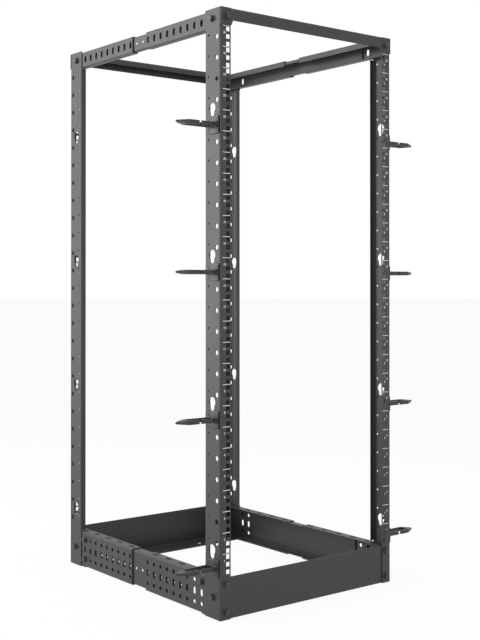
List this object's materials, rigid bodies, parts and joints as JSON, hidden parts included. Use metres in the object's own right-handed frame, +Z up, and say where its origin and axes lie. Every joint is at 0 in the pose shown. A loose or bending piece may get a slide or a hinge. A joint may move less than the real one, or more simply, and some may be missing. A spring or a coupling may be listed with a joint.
{
  "type": "four post open frame rack",
  "caption": "Open frame rack of four punched channel posts, top beams, base panels, telescoping side rails and cable hooks, for 19 inch equipment.",
  "frame": {"origin": "on the floor, in the middle of the rack", "axes": "+X across the rack to its right side seen from the front, +Y from the front to the rear, +Z up"},
  "size_m": [0.702, 0.634, 1.2889],
  "materials": {
    "rack_steel": "fine satin black powder coat",
    "hook_plastic": "moulded black plastic, slightly satin"
  },
  "bodies": {
    "root": {"post_front_left": "rack_steel", "post_rear_left": "rack_steel", "post_front_right": "rack_steel", "post_rear_right": "rack_steel", "top_beam_front": "rack_steel", "top_beam_rear": "rack_steel", "base_panel_front": "rack_steel", "base_panel_rear": "rack_steel", "top_rail_left_front": "rack_steel", "top_rail_left_rear": "rack_steel", "top_rail_left_link": "rack_steel", "top_rail_right_front": "rack_steel", "top_rail_right_rear": "rack_steel", "top_rail_right_link": "rack_steel", "base_rail_left_front": "rack_steel", "base_rail_left_rear": "rack_steel", "base_rail_left_link": "rack_steel", "base_rail_right_front": "rack_steel", "base_rail_right_rear": "rack_steel", "base_rail_right_link": "rack_steel", "cable_hook_left_1": "hook_plastic", "cable_hook_left_2": "hook_plastic", "cable_hook_left_3": "hook_plastic", "cable_hook_left_4": "hook_plastic", "cable_hook_right_1": "hook_plastic", "cable_hook_right_2": "hook_plastic", "cable_hook_right_3": "hook_plastic", "cable_hook_right_4": "hook_plastic"}
  },
  "joints": []
}
